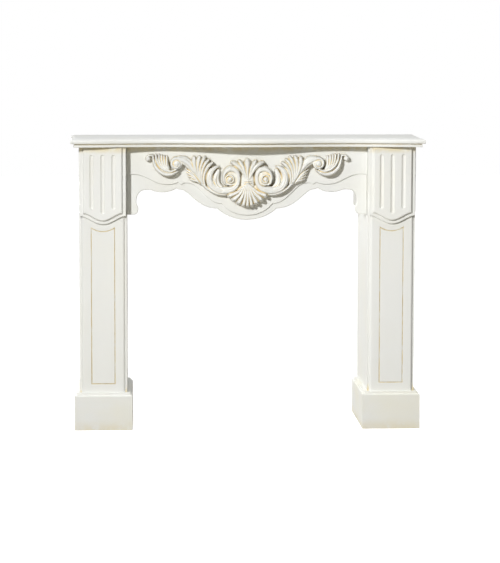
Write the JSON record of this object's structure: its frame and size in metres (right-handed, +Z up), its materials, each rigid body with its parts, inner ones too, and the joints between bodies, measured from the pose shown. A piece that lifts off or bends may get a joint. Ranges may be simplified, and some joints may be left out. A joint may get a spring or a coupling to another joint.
{
  "type": "fireplace mantelpiece",
  "caption": "Cream painted fireplace surround with a serpentine shelf, fluted capitals on boxed legs, and a shaped frieze with a cast shell and scroll ornament.",
  "frame": {"origin": "centre of the bounding box's underside, on the floor", "axes": "+X along the shelf to the right, +Y towards the wall, +Z up; the front faces -Y"},
  "size_m": [1.258, 0.37, 1.02],
  "materials": {
    "painted_board": "satin cream paint with a faint gold-brown patina in the grooves",
    "painted_plinth": "satin cream paint, yellowed a little towards the floor",
    "gilded_casting": "cream paint over a cast ornament, gold-brown patina in its hollows"
  },
  "bodies": {
    "root": {"shelf": "painted_board", "frieze": "painted_board", "carved_ornament": "gilded_casting", "left_plinth": "painted_plinth", "right_plinth": "painted_plinth", "left_pilaster_front": "painted_board", "right_pilaster_front": "painted_board", "left_capital": "painted_board", "right_capital": "painted_board", "left_inner_cheek": "painted_board", "right_inner_cheek": "painted_board", "left_outer_cheek": "painted_board", "right_outer_cheek": "painted_board", "left_batten": "painted_board", "right_batten": "painted_board"}
  },
  "joints": []
}
